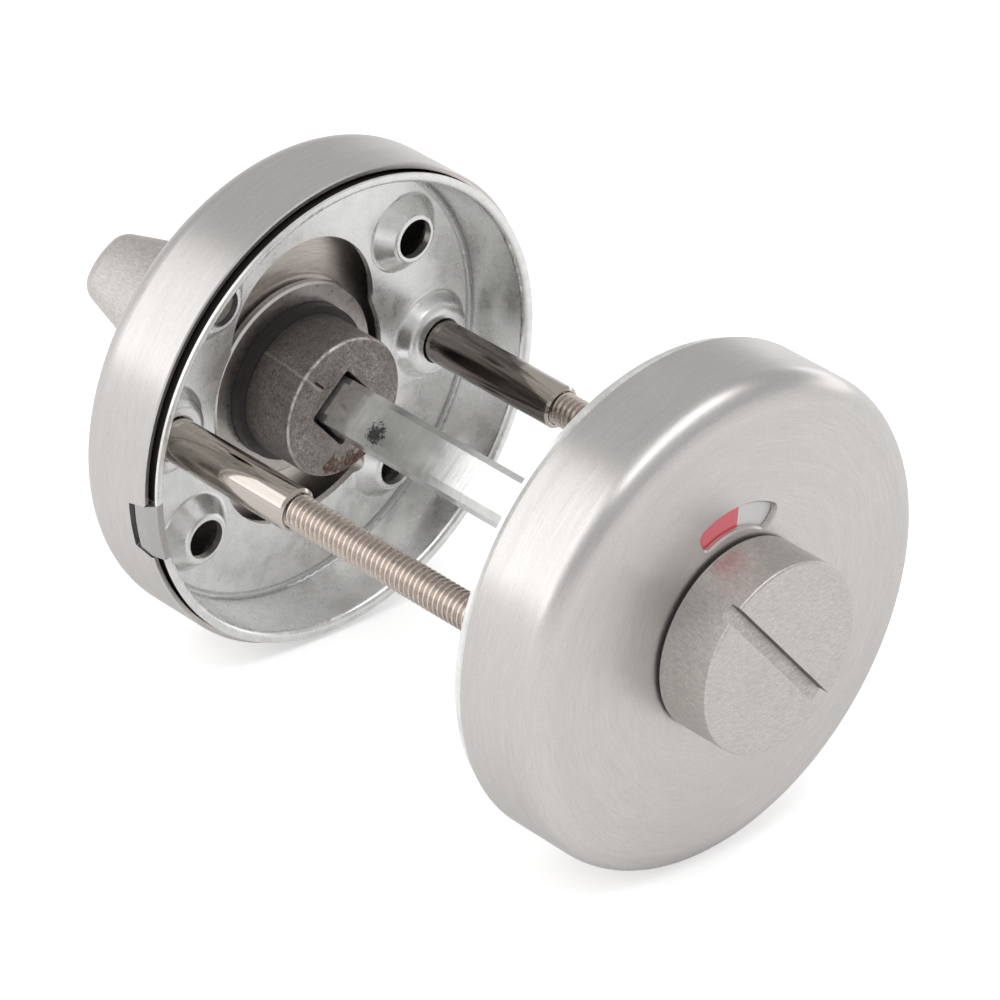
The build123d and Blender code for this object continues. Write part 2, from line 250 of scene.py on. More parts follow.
def blend(tree, share_of_second, first, second):
    """A mix of two colours."""
    inputs = {0: share_of_second, 6: first, 7: second}
    return add(tree, "ShaderNodeMix", inputs, data_type="RGBA").outputs[2]


def bumped(tree, height, distance, below=None):
    """The surface's normal, raised by a height over that distance."""
    inputs = {"Height": height, "Distance": distance, "Strength": 1.0}
    if below is not None:
        inputs["Normal"] = below
    return add(tree, "ShaderNodeBump", inputs).outputs["Normal"]


def opaque(tone, factor=1.0):
    """A colour with its alpha, made lighter or darker."""
    return (tone[0] * factor, tone[1] * factor, tone[2] * factor, 1.0)


def material(name):
    """A new material: its tree and its surface."""
    made = bpy.data.materials.new(name)
    made.use_nodes = True
    tree = made.node_tree
    tree.nodes.clear()
    surface = add(tree, "ShaderNodeBsdfPrincipled")
    add(tree, "ShaderNodeOutputMaterial", {"Surface": surface.outputs["BSDF"]})
    return made, tree, surface


def place(tree):
    """Where a point of the surface is, in metres."""
    return add(tree, "ShaderNodeTexCoord").outputs["Object"]


def level_of(tree, here):
    """How far along the lock's axis a place is."""
    return add(tree, "ShaderNodeSeparateXYZ", {"Vector": here}).outputs["Y"]


def radius_of(tree, here):
    """How far from the lock's axis a place is."""
    return vectors(tree, "LENGTH", stretch(tree, here, (1.0, 0.0, 1.0)))


def out_along(tree, here, angle):
    """How far out a place is in one direction square to the axis."""
    return vectors(tree, "DOT_PRODUCT", here, (math.cos(angle), 0.0, math.sin(angle)))


def turned_place(tree, outwards):
    """The direction round the lock's axis, and the way along a turned piece's outline."""
    here = place(tree)
    around = vectors(tree, "NORMALIZE", stretch(tree, here, (1.0, 0.0, 1.0)))
    rise = maths(tree, "MULTIPLY", level_of(tree, here), outwards)
    return around, maths(tree, "SUBTRACT", radius_of(tree, here), rise)


def round_the_axis(tree):
    """The direction of the lines that turning leaves."""
    node = add(tree, "ShaderNodeTangent", direction_type="RADIAL", axis="Y")
    return node.outputs["Tangent"]


# Masks, one inside and nought outside

def stripe(tree, value, middle, half_width, soft):
    """Where a value is near a middle."""
    off = maths(tree, "ABSOLUTE", maths(tree, "SUBTRACT", value, middle))
    return between(tree, off, half_width, half_width + soft, 1.0, 0.0)


def spot(tree, here, centre, reach, ragged=0.0, lumps=1500.0):
    """A round patch with a ragged edge."""
    away = vectors(tree, "LENGTH", vectors(tree, "SUBTRACT", here, centre))
    if ragged:
        rough = noise(tree, here, lumps, 3.0, 0.6)
        away = maths(tree, "ADD", away, between(tree, rough, 0.3, 0.7, -ragged, ragged))
    return between(tree, away, 0.6 * reach, reach, 1.0, 0.0)


def both(tree, first, second):
    """Where two masks meet."""
    return maths(tree, "MULTIPLY", first, second)


def elsewhere(tree, mask):
    """Where a mask is nought."""
    return maths(tree, "SUBTRACT", 1.0, mask)


# Metals

def brushed_steel(name, looks, outwards, face_level):
    """Steel brushed in rings round the lock's axis, and browner inside the cover."""
    made, tree, surface = material(name)
    here = place(tree)
    around, way = turned_place(tree, outwards)
    strokes = stretch(tree, around, (7.0, 7.0, 7.0))
    lines = noise(tree, strokes, 1.0, 3.0, 0.6, maths(tree, "DIVIDE", way, looks.line))
    rings = stretch(tree, around, (1.6, 1.6, 1.6))
    bands = noise(tree, rings, 1.0, 2.0, 0.5, maths(tree, "DIVIDE", way, looks.line * 9))
    grain = noise(tree, here, 3200.0, 2.0)
    fine = blend(tree, between(tree, lines, 0.3, 0.7),
                 opaque(looks.steel, 0.88), opaque(looks.steel, 1.09))
    soft = blend(tree, between(tree, bands, 0.3, 0.7, 0.0, 0.5), fine, opaque(looks.steel, 0.92))
    steel = blend(tree, between(tree, grain, 0.35, 0.65, 0.0, 0.35), soft, opaque(looks.steel, 1.12))
    inner = lining_mask(tree, here, face_level, outwards)
    spread = between(tree, bands, 0.3, 0.7, looks.roughness - 0.03, looks.roughness + 0.04)
    lining = blend(tree, between(tree, lines, 0.3, 0.7),
                   opaque(looks.lining, 0.8), opaque(looks.lining, 1.15))
    set_inputs(tree, surface, {
        "Base Color": blend(tree, inner, steel, lining),
        "Metallic": 1.0,
        "Roughness": spread,
        "Anisotropic": looks.brushing,
        "Anisotropic Rotation": 0.25,
        "Tangent": round_the_axis(tree),
        "Normal": bumped(tree, lines, 0.0035 * millimetre),
    })
    return made


def lining_mask(tree, here, face_level, outwards):
    """Where a cover shows its inside: under its face, and within its wall."""
    wall = 0.3 * millimetre
    bend = 24.8 * millimetre
    bend_drop = 2.7 * millimetre
    bend_middle = 3.4 * millimetre
    rim = 27.5 * millimetre
    depth = maths(tree, "MULTIPLY", maths(tree, "SUBTRACT", face_level, level_of(tree, here)), outwards)
    radius = radius_of(tree, here)
    under = between(tree, depth, wall, wall * 1.1)
    within = between(tree, radius, rim - wall, rim - wall * 1.1)
    past_bend = maths(tree, "SUBTRACT", maths(tree, "SUBTRACT", radius, bend),
                      maths(tree, "SUBTRACT", depth, bend_drop))
    inside_bend = between(tree, past_bend, bend_middle, bend_middle * 0.99)
    return both(tree, both(tree, under, within), inside_bend)


def satin_grain(tree, here):
    """Fine crossed scratches, and the clouds that they lie in."""
    one_way = noise(tree, stretch(tree, here, (1100.0, 5200.0, 5200.0)), 1.0, 2.0)
    other_way = noise(tree, stretch(tree, here, (5200.0, 1300.0, 4200.0)), 1.0, 2.0)
    scratches = maths(tree, "MULTIPLY", one_way, other_way)
    return between(tree, scratches, 0.14, 0.38), noise(tree, here, 260.0, 3.0)


def satin_steel(name, tone, roughness):
    """Steel with a fine crossed satin finish."""
    made, tree, surface = material(name)
    scratches, clouds = satin_grain(tree, place(tree))
    set_inputs(tree, surface, {
        "Base Color": blend(tree, scratches, opaque(tone, 0.86), opaque(tone, 1.10)),
        "Metallic": 1.0,
        "Roughness": between(tree, clouds, 0.3, 0.7, roughness - 0.04, roughness + 0.06),
        "Normal": bumped(tree, scratches, 0.004 * millimetre),
    })
    return made


def slotted_satin(name, looks, top):
    """The coin release's satin, with the floor of its slot painted darker, partly for its milling and
    partly as painted shade, and a painted shadow line along one side.
    """
    made, tree, surface = material(name)
    here = place(tree)
    scratches, clouds = satin_grain(tree, here)
    slot_turn = math.radians(45.0)
    half_slot = 0.9 * millimetre
    middle_depth = 0.9 * millimetre
    knob_side = 10.58 * millimetre
    slot_shadow_start = 0.78 * millimetre
    across = out_along(tree, here, slot_turn)
    sunk = stripe(tree, level_of(tree, here), top + middle_depth, 0.6 * millimetre,
                  0.1 * millimetre)
    within = between(tree, radius_of(tree, here), knob_side, knob_side - 0.03 * millimetre)
    cut = both(tree, sunk, within)
    floor = both(tree, cut, stripe(tree, across, 0.0, half_slot, 0.02 * millimetre))
    # Painted shadow: a dark line along the slot's floor under its shaded wall.
    corner = both(tree, floor, between(tree, across, slot_shadow_start, half_slot))
    satin = blend(tree, scratches, opaque(looks.release, 0.86), opaque(looks.release, 1.10))
    # The slot's floor is painted darker, partly for its milling and partly as painted shade in the
    # recess.
    milled_and_shaded = blend(tree, scratches, opaque(looks.release, 0.76), opaque(looks.release, 1.08))
    shade = blend(tree, floor, satin, milled_and_shaded)
    spread = between(tree, clouds, 0.3, 0.7, looks.roughness - 0.04, looks.roughness + 0.06)
    set_inputs(tree, surface, {
        "Base Color": blend(tree, corner, shade, opaque(looks.release, 0.30)),
        "Metallic": 1.0,
        "Roughness": spread,
        "Normal": bumped(tree, scratches, 0.004 * millimetre),
    })
    return made


def plated_zinc(name, looks, shadowed=False):
    """Bright zinc plating with faint clouds; where shadowed, its side and back painted dark, partly as
    its cut edge and partly as painted shade, and painted shade along its crease.
    """
    made, tree, surface = material(name)
    here = place(tree)
    tone = looks.zinc
    clouds = noise(tree, here, 1 / looks.mottle, 2.0, 0.6)
    grains = noise(tree, here, 9 / looks.mottle, 3.0, 0.6)
    patchy = blend(tree, between(tree, clouds, 0.35, 0.65), opaque(tone, 0.90), opaque(tone, 1.06))
    shade = blend(tree, between(tree, grains, 0.35, 0.7, 0.0, 0.30), patchy, opaque(tone, 0.80))
    spread = between(tree, clouds, 0.3, 0.7, 0.22, 0.34)
    if shadowed:
        # Painted shade on the inside plate only: its side and back in the gap under the cover, and its
        # crease.
        shade, edge = plate_tab_and_painted_shade(tree, here, looks, shade)
        spread = between(tree, edge, 0.0, 1.0, spread, 0.7)
    rough = bumped(tree, grains, 0.004 * millimetre)
    set_inputs(tree, surface, {
        "Base Color": shade,
        "Metallic": 0.85,
        "Roughness": spread,
        "Normal": bumped(tree, clouds, 0.012 * millimetre, below=rough),
    })
    return made


def plate_tab_and_painted_shade(tree, here, looks, shade):
    """The plate's tab; its side and back painted dark, partly as the raw cut edge and partly as painted
    shade in the gap under the cover; and painted shade along the crease round its floor.
    """
    tab_turn = math.radians(193.7)
    tab_half_width = 3.5 * millimetre
    shaded_side_radius = 26.0 * millimetre
    shaded_side_level = 0.30 * millimetre
    crease_radius = 24.9 * millimetre
    crease_level = 7.3 * millimetre
    level = level_of(tree, here)
    radius = radius_of(tree, here)
    aside = out_along(tree, here, tab_turn - math.pi / 2)
    out = out_along(tree, here, tab_turn)
    off_tab = elsewhere(tree, both(
        tree, stripe(tree, aside, 0.0, tab_half_width, 0.1 * millimetre),
        between(tree, out, 20.0 * millimetre, 21.0 * millimetre)))
    shade = blend(tree, off_tab, opaque(looks.steel, 0.74), shade)
    # Painted shade, partly the raw cut edge: the side and back where they sit in the gap under the
    # cover.
    side = between(tree, radius, shaded_side_radius, shaded_side_radius + 0.1 * millimetre)
    low = between(tree, level, shaded_side_level, shaded_side_level + 0.08 * millimetre)
    edge = both(tree, off_tab, both(tree, side, low))
    shade = blend(tree, edge, shade, opaque(looks.cut))
    # Painted shade: a darker band along the crease where the floor bends up into the wall.
    crease = both(
        tree, stripe(tree, radius, crease_radius, 0.3 * millimetre, 0.2 * millimetre),
        between(tree, level, crease_level, crease_level + 0.3 * millimetre))
    return blend(tree, crease, shade, opaque(looks.zinc, 0.62)), edge


def plated_bar(name, looks):
    """The spindle's zinc, with faint strokes across it and a dark scuff."""
    made, tree, surface = material(name)
    here = place(tree)
    tone = looks.zinc
    strokes = noise(tree, stretch(tree, here, (160.0, 1900.0, 160.0)), 1.0, 3.0, 0.6)
    grains = noise(tree, here, 3600.0, 3.0, 0.6)
    clouds = noise(tree, here, 420.0, 3.0, 0.6)
    struck = blend(tree, between(tree, strokes, 0.3, 0.7), opaque(tone, 0.88), opaque(tone, 1.06))
    shade = blend(tree, between(tree, grains, 0.4, 0.7, 0.0, 0.35), struck, opaque(tone, 0.72))
    centre = (-2.75 * millimetre, -6.85 * millimetre, 1.15 * millimetre)
    scuff = spot(tree, here, centre, 1.3 * millimetre, 0.7 * millimetre, 2600.0)
    set_inputs(tree, surface, {
        "Base Color": blend(tree, scuff, shade, opaque(tone, 0.18)),
        "Metallic": 0.9,
        "Roughness": between(tree, clouds, 0.3, 0.7, 0.16, 0.28),
        "Normal": bumped(tree, strokes, 0.006 * millimetre),
    })
    return made


def spring_steel(name, tone, bevel_radius=None):
    """Rolled steel with faint marks; at the bevel radius a painted highlight along its edge."""
    made, tree, surface = material(name)
    here = place(tree)
    marks = noise(tree, here, 1500.0, 4.0, 0.6)
    shade = blend(tree, between(tree, marks, 0.3, 0.7), opaque(tone, 0.84), opaque(tone, 1.12))
    if bevel_radius:
        radius = radius_of(tree, here)
        # Painted highlight: a bright band along the ring's bevel.
        highlight = stripe(tree, radius, bevel_radius, 0.10 * millimetre, 0.05 * millimetre)
        shade = blend(tree, highlight, shade, (0.85, 0.84, 0.82, 1.0))
    set_inputs(tree, surface, {
        "Base Color": shade,
        "Metallic": 1.0,
        "Roughness": between(tree, marks, 0.3, 0.7, 0.26, 0.38),
        "Normal": bumped(tree, marks, 0.006 * millimetre),
    })
    return made


def cast_metal(name, looks, marked):
    """Rough die cast grey; where marked, with its flash line, its edge bright with wear flecks and a
    painted highlight, and rust.
    """
    made, tree, surface = material(name)
    here = place(tree)
    lumps = noise(tree, here, 900.0, 5.0, 0.7)
    grit = noise(tree, here, 4200.0, 3.0, 0.6)
    clouds = noise(tree, here, 300.0, 3.0, 0.5)
    tone = looks.cast
    shade = blend(tree, between(tree, lumps, 0.3, 0.7), opaque(tone, 0.72), opaque(tone, 1.25))
    shade = blend(tree, between(tree, grit, 0.52, 0.70), shade, opaque(tone, 0.45))
    shade = blend(tree, between(tree, grit, 0.42, 0.28), shade, opaque(tone, 1.9))
    shade = blend(tree, between(tree, clouds, 0.4, 0.7, 0.0, 0.5), shade, opaque(tone, 0.8))
    rough = bumped(tree, grit, 0.02 * millimetre)
    height = bumped(tree, lumps, 0.06 * millimetre, below=rough)
    if marked:
        shade, height = cast_marks(tree, here, looks, shade, height, grit)
    set_inputs(tree, surface, {
        "Base Color": shade,
        "Metallic": 0.85,
        "Roughness": between(tree, grit, 0.3, 0.7, 0.42, 0.60),
        "Normal": height,
    })
    return made


def cast_marks(tree, here, looks, shade, height, grit):
    """The flash line along the hub and in to its socket, the bright edge with wear flecks and a painted
    highlight on its lit side, and the rust.
    """
    flash_turn = math.radians(139.5)
    light_turn = math.radians(125.0)
    socket_reach = 4.5 * millimetre
    face_level = 0.9 * millimetre
    edge_radius = 7.86 * millimetre
    rust_spots = ((1.3, -7.4, 2.0), (3.2, -6.7, 1.5), (-1.4, -6.6, 1.2))
    wander = between(tree, noise(tree, here, 420.0, 3.0), 0.3, 0.7,
                     -0.22 * millimetre, 0.22 * millimetre)
    aside = out_along(tree, here, flash_turn - math.pi / 2)
    out = out_along(tree, here, flash_turn)
    level = level_of(tree, here)
    radius = radius_of(tree, here)
    behind = between(tree, level, 1.2 * millimetre, 7.0 * millimetre, 0.0, 0.5 * millimetre)
    strayed = maths(tree, "SUBTRACT", maths(tree, "ADD", aside, wander), behind)
    past_socket = between(tree, out, socket_reach, socket_reach + 0.3 * millimetre)
    broken = between(tree, grit, 0.40, 0.56, 0.12, 0.6)
    line = stripe(tree, strayed, 0.0, 0.06 * millimetre, 0.16 * millimetre)
    flash = both(tree, both(tree, line, past_socket), broken)
    on_face = between(tree, level, face_level + 0.2 * millimetre, face_level)
    short = between(tree, out, 6.6 * millimetre, 6.3 * millimetre)
    split = stripe(tree, aside, 0.38 * millimetre, 0.10 * millimetre, 0.12 * millimetre)
    crack = both(tree, both(tree, split, past_socket), both(tree, on_face, short))
    chipped = between(tree, noise(tree, here, 1100.0, 3.0, 0.6), 0.38, 0.56, 0.15, 1.0)
    # The edge's bright line: wear flecks, and a painted highlight that is stronger on its lit side.
    highlight = stripe(tree, radius, edge_radius, 0.05 * millimetre, 0.07 * millimetre)
    near_face = between(tree, level, 1.25 * millimetre, 1.05 * millimetre)
    lit_side = between(tree, out_along(tree, here, light_turn), -3.0 * millimetre,
                       7.0 * millimetre, 0.25, 1.0)
    wear_and_highlight = both(tree, both(tree, both(tree, highlight, chipped), near_face), lit_side)
    bright = (0.72, 0.70, 0.67, 1.0)
    shade = blend(tree, flash, shade, bright)
    shade = blend(tree, crack, shade, opaque(looks.cast, 0.12))
    shade = blend(tree, wear_and_highlight, shade, bright)
    for x, z, reach in rust_spots:
        centre = (x * millimetre, face_level, z * millimetre)
        rusty = spot(tree, here, centre, reach * millimetre, 0.9 * millimetre, 1300.0)
        shade = blend(tree, both(tree, rusty, between(tree, grit, 0.62, 0.40, 0.35, 0.95)),
                      shade, opaque(looks.rust))
    raised = bumped(tree, flash, 0.05 * millimetre, below=height)
    return shade, bumped(tree, crack, -0.10 * millimetre, below=raised)


def bright_plate(name, tone, roughness):
    """Smooth bright plating with faint drawn lines along the piece."""
    made, tree, surface = material(name)
    here = place(tree)
    drawn = noise(tree, stretch(tree, here, (1800.0, 40.0, 1800.0)), 1.0, 2.0)
    shade = blend(tree, between(tree, drawn, 0.3, 0.7), opaque(tone, 0.93), opaque(tone, 1.05))
    set_inputs(tree, surface, {
        "Base Color": shade,
        "Metallic": 1.0,
        "Roughness": between(tree, drawn, 0.3, 0.7, roughness - 0.02, roughness + 0.02),
        "Normal": bumped(tree, drawn, 0.001 * millimetre),
    })
    return made


def plate_with_painted_shade(name, looks, roughness):
    """Bright plating; on the sleeve towards +X painted dark as painted shade, but for a patch near its
    end left bright as a painted reflection.
    """
    made, tree, surface = material(name)
    here = place(tree)
    sleeve_reach = 12.8 * millimetre
    patch_rise = 0.9 * millimetre
    patch_slope = 0.22
    drawn = noise(tree, stretch(tree, here, (2200.0, 60.0, 2200.0)), 1.0, 3.0, 0.6)
    lines = between(tree, drawn, 0.3, 0.7)
    parts = add(tree, "ShaderNodeSeparateXYZ", {"Vector": here}).outputs
    from_end = maths(tree, "ADD", parts["Y"], sleeve_reach)
    rise = maths(tree, "SUBTRACT", parts["Z"], maths(tree, "MULTIPLY", from_end, patch_slope))
    # Painted reflection: a patch on the sleeve's upper side near its end stays bright.
    highlight = both(tree, between(tree, rise, patch_rise, patch_rise + 0.2 * millimetre),
                  between(tree, from_end, 7.0 * millimetre, 6.0 * millimetre))
    bevel = between(tree, from_end, 0.35 * millimetre, 0.25 * millimetre)
    one_side = between(tree, parts["X"], -1.0 * millimetre, 1.0 * millimetre)
    # Painted shade: the sleeve towards +X is darkened where it mirrors its dark surroundings.
    painted_shade = both(tree, one_side, both(tree, elsewhere(tree, highlight), elsewhere(tree, bevel)))
    bright = blend(tree, lines, opaque(looks.chrome, 0.92), opaque(looks.chrome, 1.05))
    dark = blend(tree, lines, opaque(looks.chrome, looks.browned * 0.7),
                 opaque(looks.chrome, looks.browned * 1.3))
    set_inputs(tree, surface, {
        "Base Color": blend(tree, painted_shade, bright, dark),
        "Metallic": 1.0,
        "Roughness": between(tree, painted_shade, 0.0, 1.0, roughness, roughness + 0.08),
        "Normal": bumped(tree, drawn, 0.001 * millimetre),
    })
    return made


def rolled_thread(name, tone):
    """Rolled steel thread with faint marks."""
    made, tree, surface = material(name)
    here = place(tree)
    marks = noise(tree, here, 2600.0, 3.0, 0.6)
    shade = blend(tree, between(tree, marks, 0.3, 0.7), opaque(tone, 0.82), opaque(tone, 1.12))
    set_inputs(tree, surface, {
        "Base Color": shade,
        "Metallic": 1.0,
        "Roughness": between(tree, marks, 0.3, 0.7, 0.24, 0.36),
        "Normal": bumped(tree, marks, 0.006 * millimetre),
    })
    return made


# Plastics

def moulded(name, tone, roughness):
    """Plain moulded plastic with a fine grain."""
    made, tree, surface = material(name)
    grain = noise(tree, place(tree), 4000.0, 2.0)
    set_inputs(tree, surface, {
        "Base Color": blend(tree, grain, opaque(tone, 0.9), opaque(tone, 1.1)),
        "Roughness": between(tree, grain, 0.3, 0.7, roughness - 0.05, roughness + 0.05),
        "Normal": bumped(tree, grain, 0.005 * millimetre),
    })
    return made


# Pieces of the frame

def finish(names, look):
    """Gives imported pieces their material."""
    for name in names:
        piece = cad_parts[name]
        piece.data.materials.clear()
        piece.data.materials.append(look)


def new_piece(name, points, faces, look, body, node):
    """A piece made here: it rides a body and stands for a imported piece."""
    mesh = bpy.data.meshes.new(name)
    mesh.from_pydata(points, [], faces)
    mesh.update()
    mesh.shade_smooth()
    mesh.set_sharp_from_angle(angle=math.radians(40))
    mesh.materials.append(look)
    piece = bpy.data.objects.new(name, mesh)
    bpy.context.scene.collection.objects.link(piece)
    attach(piece, body)
    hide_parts(node)
    return piece


def thread_height(phase):
    """How high a rolled thread stands at a share of its pitch, from nought to one."""
    crest = 0.08
    flank = 0.34
    off = min(phase, 1.0 - phase)
    if off <= crest:
        return 1.0
    if off >= crest + flank:
        return 0.0
    return 0.5 + 0.5 * math.cos(math.pi * (off - crest) / flank)


def screw_mesh(sizes, centre_x, tip, seat):
    """Points and faces of one right-handed screw along Y, its head past the seat."""
    columns = 32
    turn_rows = 8
    bevel = 0.3 * millimetre
    step = sizes.pitch / turn_rows
    high = tip - bevel
    rows = int((high - seat) / step) - turn_rows
    points = []

    def ring(level, radius):
        """Adds a plain ring and gives its first point's number."""
        first = len(points)
        for column in range(columns):
            angle = -full_turn * column / columns
            points.append((centre_x + radius * math.cos(angle), level, radius * math.sin(angle)))
        return first

    top = seat - sizes.head_height
    rings = [ring(top, sizes.head - bevel), ring(top + bevel, sizes.head), ring(seat, sizes.head),
             ring(seat, sizes.crest)]
    thread = len(points)
    for row in range(rows + 1):
        height = thread_height(row % turn_rows / turn_rows)
        for column in range(columns):
            level = seat + (row + column / columns * turn_rows) * step
            near_head = min(1.0, max(0.0, (level - seat) / sizes.pitch - 1.0))
            near_tip = min(1.0, max(0.0, (high - level) / sizes.pitch - 1.0))
            stands = (height * near_head + 1.0 - near_head) * near_tip
            radius = sizes.root + (sizes.crest - sizes.root) * stands
            angle = -full_turn * column / columns
            points.append((centre_x + radius * math.cos(angle), level, radius * math.sin(angle)))
    ends = [ring(high, sizes.root), ring(tip, sizes.root - bevel)]

    def at(row, column):
        """The number of a thread point; past the last column the next turn begins."""
        if column == columns:
            return thread + (row + turn_rows) * columns
        return thread + row * columns + column

    faces = [tuple(range(rings[0] + columns - 1, rings[0] - 1, -1))]
    for low_ring, high_ring in zip(rings + ends[:-1], rings[1:] + ends[1:]):
        if (low_ring, high_ring) == (rings[-1], ends[1]):
            continue
        for column in range(columns):
            after = (column + 1) % columns
            faces.append((low_ring + column, low_ring + after, high_ring + after, high_ring + column))
    for column in range(columns - 1):
        faces.append((rings[-1] + column, rings[-1] + column + 1, at(0, column + 1), at(0, column)))
        faces.append((at(rows, column), at(rows, column + 1), ends[0] + column + 1, ends[0] + column))
    last = columns - 1
    faces.append((rings[-1] + last, rings[-1]) + tuple(at(row, 0) for row in range(turn_rows + 1))
                 + (at(0, last),))
    faces.append((at(rows - turn_rows, last), at(rows, 0), ends[0], ends[0] + last)
                 + tuple(at(rows - back, last) for back in range(turn_rows)))
    for row in range(rows):
        for column in range(columns):
            if column == last and row + turn_rows >= rows:
                continue
            faces.append((at(row, column), at(row, column + 1),
                          at(row + 1, column + 1), at(row + 1, column)))
    faces.append(tuple(range(ends[1], ends[1] + columns)))
    return points, faces


def cut_slots(piece, places, top, sizes):
    """Cuts the driver slots into the screw heads."""
    half_length = sizes.head * 1.2
    half_width = sizes.slot / 2
    depth = sizes.head_height / 2
    for place_x in places:
        corners = []
        for x in (-half_length, half_length):
            for y in (-depth, depth):
                for z in (-half_width, half_width):
                    corners.append((place_x + x, top + y, z))
        sides = ((0, 1, 3, 2), (4, 6, 7, 5), (0, 4, 5, 1), (2, 3, 7, 6), (0, 2, 6, 4), (1, 5, 7, 3))
        mesh = bpy.data.meshes.new("slot_cutter")
        mesh.from_pydata(corners, [], sides)
        cutter = bpy.data.objects.new("slot_cutter", mesh)
        bpy.context.scene.collection.objects.link(cutter)
        cut = piece.modifiers.new("slot", "BOOLEAN")
        cut.operation = "DIFFERENCE"
        cut.solver = "EXACT"
        cut.object = cutter
        shaped = piece.evaluated_get(bpy.context.evaluated_depsgraph_get())
        piece.data = bpy.data.meshes.new_from_object(shaped)
        piece.modifiers.clear()
        bpy.data.objects.remove(cutter)


class LOCK_OT_covers(bpy.types.Operator):
    """Brushed steel covers of the two roses"""

    bl_idname = "lock.covers"
    bl_label = "Covers"

    def execute(self, context):
        looks = context.scene.lock_roses
        inside_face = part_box("inside_cover")[1].y
        outside_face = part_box("outside_cover")[0].y
        finish(["inside_cover"], brushed_steel("inside_cover_steel", looks, 1.0, inside_face))
        finish(["outside_cover"], brushed_steel("outside_cover_steel", looks, -1.0, outside_face))
        return {"FINISHED"}


class LOCK_OT_plates(bpy.types.Operator):
    """Pressed and plated mounting plates"""

    bl_idname = "lock.plates"
    bl_label = "Plates"

    def execute(self, context):
        looks = context.scene.lock_roses
        finish(["inside_plate"], plated_zinc("inside_plate_zinc", looks, True))
        finish(["outside_plate"], plated_zinc("outside_plate_zinc", looks))
        return {"FINISHED"}


class LOCK_OT_grips(bpy.types.Operator):
    """Thumb turn and coin release"""

    bl_idname = "lock.grips"
    bl_label = "Thumb turn and release"

    def execute(self, context):
        looks = context.scene.lock_turn
        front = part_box("release_knob")[0].y
        finish(["thumb_turn"], satin_steel("turn_steel", looks.turn, looks.roughness))
        finish(["release_knob"], slotted_satin("release_steel", looks, front))
        return {"FINISHED"}


class LOCK_OT_hubs(bpy.types.Operator):
    """Cast hubs with their screws and pin"""

    bl_idname = "lock.hubs"
    bl_label = "Hubs"

    def execute(self, context):
        looks = context.scene.lock_turn
        finish(["turn_hub"], cast_metal("turn_hub_cast", looks, True))
        finish(["release_hub"], cast_metal("release_hub_cast", looks, False))
        screw = bright_plate("screw_steel", looks.screw, 0.28)
        finish(["turn_hub_screw", "release_hub_screw", "spindle_pin"], screw)
        return {"FINISHED"}


class LOCK_OT_rings(bpy.types.Operator):
    """Bushes, snap rings and the spring washer"""

    bl_idname = "lock.rings"
    bl_label = "Bushes and rings"

    def execute(self, context):
        looks = context.scene.lock_turn
        bevel_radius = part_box("turn_snap_ring")[1].x - 0.12 * millimetre
        finish(["turn_snap_ring"], spring_steel("turn_ring_steel", looks.spring, bevel_radius))
        finish(["release_snap_ring"], spring_steel("release_ring_steel", looks.spring))
        finish(["turn_spring_washer"], spring_steel("washer_steel", looks.spring))
        finish(["turn_bush", "release_bush"], moulded("bush_nylon", looks.nylon, 0.45))
        return {"FINISHED"}


class LOCK_OT_spindle(bpy.types.Operator):
    """Square spindle"""

    bl_idname = "lock.spindle"
    bl_label = "Spindle"

    def execute(self, context):
        finish(["spindle"], plated_bar("spindle_zinc", context.scene.lock_fixings))
        return {"FINISHED"}


class LOCK_OT_fixings(bpy.types.Operator):
    """Sleeve nuts and the threaded screws that run into them"""

    bl_idname = "lock.fixings"
    bl_label = "Sleeve nuts and screws"

    def execute(self, context):
        looks = context.scene.lock_fixings
        finish(["sleeve_nuts"], plate_with_painted_shade("sleeve_plating", looks, 0.09))
        lowest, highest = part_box("through_screws")
        seat = lowest.y + looks.head_height
        places = (lowest.x + looks.head, highest.x - looks.head)
        points = []
        faces = []
        for place_x in places:
            first = len(points)
            more_points, more_faces = screw_mesh(looks, place_x, highest.y, seat)
            points += more_points
            faces += [tuple(first + corner for corner in face) for face in more_faces]
        thread = rolled_thread("screw_thread", looks.bolt)
        screws = new_piece("threaded_screws", points, faces, thread, "outside_rose",
                           "through_screws")
        cut_slots(screws, places, lowest.y, looks)
        screws.data.shade_smooth()
        screws.data.set_sharp_from_angle(angle=math.radians(40))
        return {"FINISHED"}


class LOCK_OT_sign(bpy.types.Operator):
    """Sign behind the window"""

    bl_idname = "lock.sign"
    bl_label = "Sign"

    def execute(self, context):
        looks = context.scene.lock_sign
        finish(["indicator_disc"], moulded("indicator_white", looks.white, 0.35))
        finish(["red_field"], moulded("indicator_red", looks.red, 0.35))
        return {"FINISHED"}


# Stage

def link(piece):
    """Puts an object of the stage in the scene."""
    bpy.context.scene.collection.objects.link(piece)


def seen_and_mirrored(tree):
    """Two masks: where the picture sees this, and where a shining or clear surface does."""
    path = add(tree, "ShaderNodeLightPath").outputs
    mirrored = maths(tree, "MAXIMUM", path["Is Glossy Ray"], path["Is Transmission Ray"])
    return path["Is Camera Ray"], mirrored


